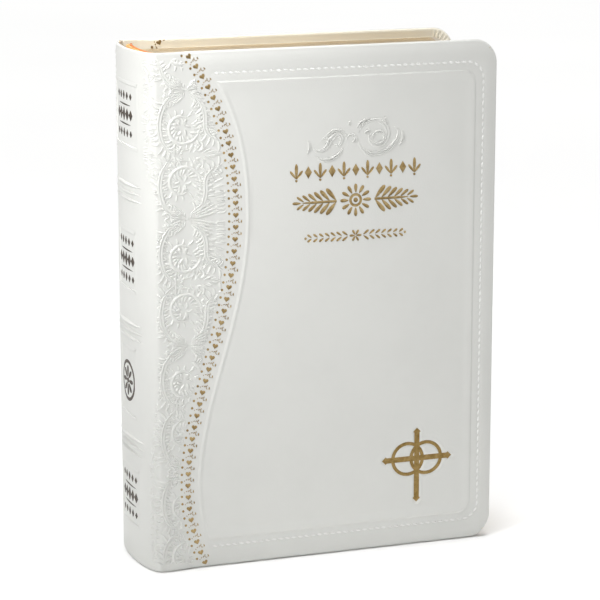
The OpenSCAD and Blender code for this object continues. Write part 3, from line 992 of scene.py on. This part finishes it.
def make_flourish():
    """A scroll blocked without foil above the title place."""
    b = cover_builder(FRONT)
    scrolls = [(smooth_path(points), width) for points, width in FLOURISH_PATHS]
    scrolls += [(spiral(*shape), width) for shape, width in FLOURISH_SPIRALS]
    scrolls += [(comma(*shape), width) for shape, width in FLOURISH_LEAVES]
    for path, width in scrolls:
        b.stroke(path, width, FLOURISH_H, profile=RAIL)
    settle(b.finish("front_flourish_emboss", [LEATHER]), "front_cover", "white_leather")


# ---- Foil ----


def disc(x, y, r, sides=12):
    return around(x, y, r, np.linspace(0, 2 * math.pi, sides, endpoint=False))


def heart(x, y, width, turn):
    """Outline of a heart that points down the cover, turned by an angle."""
    t = np.linspace(0, 2 * math.pi, 28, endpoint=False)
    hx = 16 * np.sin(t) ** 3
    hy = -(13 * np.cos(t) - 5 * np.cos(2 * t) - 2 * np.cos(3 * t) - np.cos(4 * t)) - 2.0
    k = width / 32
    c, s = math.cos(turn), math.sin(turn)
    return np.stack([x + k * (hx * c - hy * s), y + k * (hx * s + hy * c)], -1)


def teardrop(x, y, length, width, turn):
    """Outline of a leaf from its stalk at x, y, pointing along an angle in degrees."""
    t = np.linspace(0, 2 * math.pi, 16, endpoint=False)
    along = length * (0.5 - 0.5 * np.cos(t))
    across = width / 2 * np.sin(t) * (0.45 + 0.55 * (0.5 - 0.5 * np.cos(t)))
    a = math.radians(turn)
    return np.stack([x + along * math.cos(a) - across * math.sin(a),
                     y + along * math.sin(a) + across * math.cos(a)], -1)


def lozenge(x, y, w, h):
    return np.array([(x - w / 2, y), (x, y - h / 2), (x + w / 2, y), (x, y + h / 2)])


def walk_down(first, pitch):
    """Depths one pitch apart along the vine."""
    down = first
    while down < HEIGHT - 2:
        yield down
        down += pitch / math.sqrt(1 + float(vine_slope(HEIGHT - down)) ** 2)


# Leaves of the sprig after each heart: place across and along the vine, length, width, lean
SPRIG = [(2.35, 1.9, 1.15, 0.62, 0), (1.3, 1.3, 0.8, 0.4, 20), (-0.3, 2.0, 0.7, 0.36, 60),
         (-1.3, 3.0, 0.6, 0.34, 150)]
SPRIG_STEM = [(0.1, 2.5), (0.4, 1.9), (0.9, 2.2), (1.2, 2.9), (1.8, 2.9)]
HEART_W, DOT_R = 2.35, 0.5
DOTS_AWAY = 2.75      # distance of the dots from the hearts


def make_vine(side):
    """Hearts with sprigs between them, and a row of dots on the spine side."""
    b = cover_builder(side)
    for down in walk_down(2, HEART_PITCH):
        x, slope = float(vine_s(HEIGHT - down)), float(vine_slope(HEIGHT - down))
        b.plate(heart(x, down, HEART_W, -math.atan(slope)))
        if down > HEIGHT - 5:
            continue
        way = np.array([slope, 1]) / math.hypot(slope, 1)
        side_way = np.array([way[1], -way[0]])
        stem = [np.array([x, down]) + side_way * across + way * along for across, along in SPRIG_STEM]
        b.foil_line(smooth_path(stem, 0.25), 0.24, taper=(0, 0))
        turn = math.degrees(math.atan2(way[1], way[0]))
        for across, along, length, width, lean in SPRIG:
            foot = np.array([x, down]) + side_way * across + way * along
            b.leaf(*foot, length, width, turn + lean)
    for down in walk_down(1.5, DOT_PITCH):
        b.plate(disc(float(vine_s(HEIGHT - down)) - DOTS_AWAY, down, DOT_R), dome=0.03)
    obj = b.finish(SIDE_NAMES[side] + "_vine_hearts", [FOIL])
    sharpen(obj)
    blend_to_cover(obj, side)
    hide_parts(SIDE_NAMES[side] + "_vine_foil")


TURNED_HEART = (14.6, 1.7)   # s and depth of the heart on a cover's turned-in edge


def make_turned_vine(side):
    """The ends of the vine that are turned in behind the head and tail of a cover."""
    b = Builder()
    x, y = TURNED_HEART
    for top in (True, False):
        def place(s, down, up=0.0, top=top):
            z = HEIGHT - np.asarray(down) if top else np.asarray(down)
            return case_point(side, np.asarray(s, float), RIM_DEPTH + np.asarray(up) + FOIL_LIFT - ROOT, z)

        b.place, b.flip = place, (side == BACK) == top
        b.plate(heart(x, y, 2.3, -0.42))
        for dx, dy, r in ((-3.1, 1.7, 0.55), (-1.6, 0.6, 0.3), (-2.0, -0.4, 0.25)):
            b.plate(disc(x + dx, y + dy, r))
        b.leaf(x - 1.5, y + 1.3, 1.2, 0.6, 60)
        b.leaf(x + 1.4, y - 0.7, 1.1, 0.5, -20)
    obj = b.finish(SIDE_NAMES[side] + "_turned_in_vine", [FOIL])
    sharpen(obj)
    settle(obj, SIDE_NAMES[side] + "_cover", "gold_foil")


TITLE_CENTRE = (83.0, 63.0)
TITLE_PITCH = 5.1     # pitch of its top row
TITLE_ROW_UP = 9.9    # height of the feet of the leaves in the top row over the rosette's centre
GARLAND_DOWN = 14.6   # depth of the garland under it


def make_title_ornament():
    """A row of leaves and lozenges, a rosette between branches, and a garland, as a title."""
    b = cover_builder(FRONT)
    cx, cy = TITLE_CENTRE
    for k in range(-5, 6):
        x = cx + k * TITLE_PITCH
        if k % 2:
            for turn, length, width in ((-90, 6.2, 1.7), (-128, 4.3, 1.3), (-52, 4.3, 1.3)):
                b.leaf(x, cy - TITLE_ROW_UP, length, width, turn)
            b.plate(disc(x, cy - 9.2, 0.5))
        else:
            b.plate(lozenge(x, cy - 12.4, 3.0, 5.0))
    b.rosette(cx, cy, 3.1, 12, 3.6, 1.8)
    b.ring(cx, cy, 2.8, 1.7, sides=32)
    b.plate(disc(cx, cy, 0.95))
    low = cy + GARLAND_DOWN
    for m, start in ((-1, 180), (1, 0)):
        b.foil_line(smooth_path([(cx + m * 8.2, cy), (cx + m * 17, cy), (cx + m * 23.8, cy)]), 1.0, (0, 1))
        for k in range(6):
            size = 6.4 - 0.55 * k
            for n in (-1, 1):
                turn = start + m * n * (50 - 3 * k)
                b.leaf(cx + m * (8.6 + 2.75 * k), cy + n * 0.5, size, size * 0.36, turn)
        b.leaf(cx + m * 23.6, cy, 3.6, 1.5, start)
        for k in range(7):
            for n in (-1, 1):
                b.leaf(cx + m * (3.4 + 2.6 * k), low + n * 0.25, 2.9 - 0.12 * k, 1.15, start + m * n * 36)
        b.plate(disc(cx + m * 21.6, low, 0.5))
    b.rosette(cx, low, 0.3, 6, 2.3, 1.2)
    obj = b.finish("front_title_ornament", [FOIL])
    sharpen(obj)
    settle(obj, "front_cover", "gold_foil", "title_ornament_foil")


def add_pointed_bar(builder, start, end, lift):
    """A bar with a lozenge head at each end: a strip down the middle and a fan at each head."""
    w, tip = CROSS_BAR_W, CROSS_TIP
    u = (end - start) / np.linalg.norm(end - start)
    v = np.array([-u[1], u[0]])
    o = []
    for p, d, side in ((start, u, v), (end, -u, -v)):
        neck = p + d * (tip * 2 - w / 2)
        o += [neck + side * w / 2, p + d * tip + side * tip, p, p + d * tip - side * tip, neck - side * w / 2]
    o = np.array(o)
    n = len(o)
    points = [builder.place(o[:, 0], o[:, 1], lift - t) for t in (0, 0.1)]
    faces = [(0, 1, 2, 3, 4), (5, 6, 7, 8, 9), (0, 4, 5, 9)]
    faces += [(i, n + i, n + (i + 1) % n, (i + 1) % n) for i in range(n)]
    builder.add(np.vstack(points), faces)


def make_cross():
    """A cross with pointed ends and two linked rings, pressed into the leather."""
    b = cover_builder(FRONT)
    cx, cy = CROSS_CENTRE
    for start, end, lift in CROSS_FOIL_BARS:
        add_pointed_bar(b, np.add(CROSS_CENTRE, start), np.add(CROSS_CENTRE, end), lift)
    for m in (-1, 1):
        b.ring(cx + m * CROSS_RING_X, cy, CROSS_RING_OUT, CROSS_RING_IN)
    obj = b.finish("front_cross", [DEEP_FOIL])
    sharpen(obj)
    settle(obj, "front_cover", "gold_foil", "cross_foil")


# ---- Spine ----


def level(across, down):
    """A path across the spine at one depth."""
    return np.stack([across, np.full(len(across), down)], -1)


def make_spine_bands():
    """Triple bands pressed up across the spine, and the lips of its sunk panels."""
    b = Builder(spine_place)
    across = np.arange(-BAND_HALF_W, BAND_HALF_W + 0.1, 0.7)
    for down in SPINE_BANDS:
        for k in (-1, 0, 1):
            b.stroke(level(across, down + BAND_PITCH * k), BAND_W, BAND_H)
    t = np.linspace(0, 1, 41)[:, None]
    for (top, bottom), w in zip(SPINE_BOXES, SPINE_BOX_HALF_W):
        corners = np.array([(-w, top), (w, top), (w, bottom), (-w, bottom), (-w, top)])
        for p, q in zip(corners, corners[1:]):
            b.stroke(mix(p, q, t), LIP_W, LIP_H, (0, 0), LIP)
    settle(b.finish("spine_raised_bands", [LEATHER]), "text_block", "white_leather")


def make_spine_print():
    """Lozenges and rules printed in the spine's panels, and a rosette in the third."""
    b = Builder(spine_place)
    for k, (top, bottom) in enumerate(SPINE_BOXES):
        mid = (top + bottom) / 2
        if k == 2:
            b.ring(0, mid, 8.6, 7.2)
            b.rosette(0, mid, 1.6, 8, 4.6, 2.2)
            b.plate(disc(0, mid, 1.1))
            continue
        for row, size in ((-7.5, 0.8), (0, 1.25), (7.5, 0.8)):
            for j in range(-2, 3):
                b.plate(lozenge(j * 4.1, mid + row, 3.0 * size, 4.4 * size * (1 - 0.12 * abs(j))))
        for row in (-3.9, 3.9):
            b.foil_line(level(np.arange(-8.6, 8.7, 0.6), mid + row), 0.5)
    obj = b.finish("spine_printed_ornaments", [PRINT])
    sharpen(obj)
    settle(obj, "text_block", "spine_print", "spine_print")


# ---- Pages ----

PAGE_PLATE = 0.22     # thickness of the leaves that are drawn as one
TRIM = 0.055          # the most by which one slab is cut shorter than another
rng = np.random.default_rng(7)
SECTIONS = [f"section_{i:02d}" for i in range(1, 21)]
_section_y = [(box_mm(n)[0][1] + box_mm(n)[1][1]) / 2 for n in SECTIONS]
_section_x = [box_mm(n)[1][0] for n in SECTIONS]


def fore_edge(y):
    """The hollow fore-edge at a place through the thickness."""
    return float(np.interp(y, _section_y, _section_x))


def page_outline(x0, x1, z0, z1, r, arc=8):
    """Outline of a page in X and Z, round at its fore-edge corners."""
    a = np.linspace(-math.pi / 2, 0, arc + 1)
    low = [(x1 - r + r * math.cos(t), z0 + r + r * math.sin(t)) for t in a]
    high = [(x1 - r + r * math.cos(t + math.pi / 2), z1 - r + r * math.sin(t + math.pi / 2)) for t in a]
    return [(x0, z0), *low, *high, (x0, z1)]


def add_plate_of_pages(b, outline, y0, y1):
    """A closed slab of pages: kind 0 is the cut edge and kind 1 the paper."""
    n = len(outline)
    points = [(x, y, z) for y in (y0, y1) for x, z in outline]
    b.add(points, [tuple(range(n)), tuple(range(2 * n - 1, n - 1, -1))], 1)
    edge = [(i, n + i, n + (i + 1) % n, (i + 1) % n) for i in range(n)]
    b.add(points, [f[::-1] for f in edge[:-1]], 0)
    b.add(points, [edge[-1][::-1]], 1)


def slabs(lo, hi, count):
    """Front and back of equal slabs through the thickness of a box."""
    y = [lo[1] + (hi[1] - lo[1]) * k / count for k in range(count + 1)]
    return list(zip(y, y[1:]))


def make_section(name, node):
    """A stack of thin slabs in a section's box, each cut a little differently, round at the fold."""
    lo, hi = box_mm(node)
    r = (hi[1] - lo[1]) / 2
    b = Builder()
    for y0, y1 in slabs(lo, hi, max(1, int(round(2 * r / PAGE_PLATE)))):
        mid = (y0 + y1) / 2
        trim = rng.uniform(-TRIM, 0.0, 3)
        fold = lo[0] + r - math.sqrt(max(r * r - (mid - (hi[1] + lo[1]) / 2) ** 2, 0))
        x1, z0, z1 = fore_edge(mid) + trim[0], lo[2] - trim[1], hi[2] + trim[2]
        add_plate_of_pages(b, page_outline(fold, x1, z0, z1, PAGE_CORNER_R), y0, y1)
    settle(b.finish(name, [GILT, PAGE], smooth_shade=False), "text_block", "page_block", node)


def make_gutter_pages(node, name):
    """The feet of the leaves next to a cover, which stay with the text block."""
    lo, hi = box_mm(node)
    b = Builder()
    outline = [(lo[0], lo[2]), (hi[0], lo[2]), (hi[0], hi[2]), (lo[0], hi[2])]
    for y0, y1 in slabs(lo, hi, int(round((hi[1] - lo[1]) / PAGE_PLATE))):
        add_plate_of_pages(b, outline, y0, y1)
    settle(b.finish(name, [GILT, PAGE], smooth_shade=False), "text_block", "page_paper", node)


BEND_W = 9.0          # width of page by the gutter that is finely divided
THICK_LEAF = 0.35     # a leaf group thicker than this is drawn as two


def make_leaf(node, paper):
    """A group of pages as flat sheets, finely divided at the gutter."""
    lo, hi = box_mm(node)
    r = PAGE_CORNER_R
    bend_end, corner = GUTTER_X + BEND_W + 2, hi[0] - r
    xs = lines((GUTTER_X, bend_end, 0.6), (bend_end, corner, 8), (corner, hi[0] - 1.2, 0.8),
               (hi[0] - 1.2, hi[0], 0.3))
    cut = r - np.sqrt(np.maximum(r * r - np.maximum(xs - corner, 0) ** 2, 0))
    z = mix(lo[2] + cut, hi[2] - cut, np.linspace(0, 1, 9)[:, None])
    x = np.broadcast_to(xs, z.shape)
    b = Builder()
    for y0, y1 in slabs(lo, hi, 2 if hi[1] - lo[1] > THICK_LEAF else 1):
        front, back = (np.stack([x, np.full_like(z, y), z], -1) for y in (y0, y1))
        b.sheet(front, back, *z.shape, kind=1)
    obj = b.finish(node + "_pages", [GILT, paper], smooth_shade=False)
    merge_doubles(obj)
    sharpen(obj, 30)
    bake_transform(obj)
    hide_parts(node)


def make_joint_paper(side):
    """Paper that lines the leather joint, from the board round to the text block."""
    plan = [(SPINE_X + 1.2, 3.2), (SPINE_X + 3, 2.2), (HINGE_X - 1.2, 1.0), (HINGE_X + 0.6, 0.8),
            (HINGE_X + 2.5, 0.78), (BOARD_X - 1.2, 0.78), (BOARD_X - 0.35, 0.95), (BOARD_X - 0.12, 1.6),
            (BOARD_X - 0.08, 2.9), (BOARD_X + 0.7, COVER_DEPTH + 0.05)]
    x, depth = smooth_path(plan, 0.5).T
    z_lines = np.linspace(PAGE_Z0 + 1.5, PAGE_Z1 - 1.5, 5)
    points = [np.stack([x, side * (HALF_T - depth - down), np.full(len(x), z)], -1)
              for down in (0.0, 0.12) for z in z_lines]
    faces = grid_faces(len(z_lines), len(x))
    n = len(z_lines) * len(x)
    b = Builder(flip=side == BACK)
    b.add(np.vstack(points), faces + [tuple(n + i for i in f[::-1]) for f in faces])
    obj = b.finish(SIDE_NAMES[side] + "_joint_paper", [ENDPAPER])
    merge_doubles(obj)
    blend_to_cover(obj, side)


# ---- Headbands, foam and the hidden parts ----

WRAP = 1.35           # pitch of the headband's wraps
WRAP_STEPS = 6
BEAD_UP = 2.4         # height of the bead over the headband's foot


def make_headband(node):
    """A core wound with gold and orange silk over an orange bead, along the rounded folds."""
    lo, hi = box_mm(node)
    tall = (hi[2] - lo[2]) / 2
    reach = 0.84 * math.pi / 2
    a = np.linspace(-reach, reach, 700)
    bow = (hi[0] - lo[0] - 1.3) * 1.25
    path = np.stack([lo[0] + 2.6 + bow * (1 - np.cos(a)), (hi[1] - 0.3) * np.sin(a) / math.sin(reach)], -1)
    length = along_path(path)
    count = int(length[-1] / WRAP) * WRAP_STEPS
    at = np.linspace(0, length[-1], count + 1)
    x, y = np.interp(at, length, path[:, 0]), np.interp(at, length, path[:, 1])
    swell = np.abs(np.sin(np.arange(count + 1) / WRAP_STEPS * math.pi)) ** 0.6
    kinds = [0 if k % WRAP_STEPS in (0, WRAP_STEPS - 1) else 1 for k in range(count)]
    b = Builder()
    b.tube(x, y, (hi[2] + lo[2]) / 2, 0.6 + 0.4 * swell, tall * (0.72 + 0.26 * swell), 14, kinds)
    bead_z = lo[2] + BEAD_UP if hi[2] > HEIGHT / 2 else hi[2] - BEAD_UP
    b.tube(x + 0.95, y * 0.96, bead_z, 0.45 + 0.12 * swell, 0.5 + 0.12 * swell, 8, [0] * count)
    settle(b.finish(node + "_wound_silk", [BAND_ORANGE, BAND_GOLD]), "text_block", "headband", node)


FOAM_INSET = 2.6
FOAM_DEPTH = 1.3      # depth of the foam's inner face below the cover's
FOAM_EDGE, FOAM_CROWN = 0.12, 0.28
FEATHER_W = 8.0       # width over which the foam rises from its edge


def make_foam(side):
    """The foam sheet: crowned in the middle and feathered to its edges."""
    name = SIDE_NAMES[side]
    lo, hi = box_mm(name + "_foam_pad")
    x0, x1, z0, z1 = lo[0] + 0.5, hi[0] - FOAM_INSET, lo[2] + FOAM_INSET, hi[2] - FOAM_INSET
    x, z = np.meshgrid(np.linspace(x0, x1, 40), np.linspace(z0, z1, 60))
    from_edge = np.minimum.reduce([x - x0, x1 - x, z - z0, z1 - z])
    inner = HALF_T - FOAM_DEPTH
    outer = inner + FOAM_EDGE + FOAM_CROWN * smooth(from_edge / FEATHER_W)
    b = Builder(flip=side == BACK)
    b.sheet(*(np.stack([x, side * y + 0 * x, z], -1) for y in (outer, inner)), *x.shape)
    obj = b.finish(name + "_padding", [FOAM])
    merge_doubles(obj)
    settle(obj, name + "_cover", "foam", name + "_foam_pad")


def dress_cad_nodes():
    """Materials for the CAD nodes that stay."""
    finishes = {
        "front_board": BOARD, "back_board": BOARD, "spine_stiffener": CARD,
        "front_pastedown": ENDPAPER, "back_pastedown": ENDPAPER,
        "front_mull_flange": CLOTH, "back_mull_flange": CLOTH, "mull_cloth": CLOTH,
        "spine_lining_paper": KRAFT, "spine_glue": GLUE, "sewing_thread": THREAD,
    }
    for node, material in finishes.items():
        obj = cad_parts[node]
        obj.data.materials.clear()
        obj.data.materials.append(material)


# ---- Everything ----

make_camera()
make_stage()
dress_cad_nodes()
for side in (FRONT, BACK):
    make_skin(side)
    make_damask(side)
    make_stitches(side)
    make_vine(side)
    make_turned_vine(side)
    make_foam(side)
    make_joint_paper(side)
make_flourish()
make_title_ornament()
make_cross()
make_spine_bands()
make_spine_print()
for k, node in enumerate(SECTIONS):
    make_section(f"pages_{k + 1:02d}", node)
for side_name in SIDE_NAMES.values():
    make_gutter_pages(side_name + "_gutter_folds", side_name + "_gutter_pages")
for node in [f"front_leaf_{i}" for i in range(1, 7)] + [f"back_leaf_{i}" for i in range(1, 4)]:
    make_leaf(node, PAGE)
for node in ("front_endpaper", "back_endpaper"):
    make_leaf(node, ENDPAPER)
for node in ("headband_top", "headband_bottom"):
    make_headband(node)
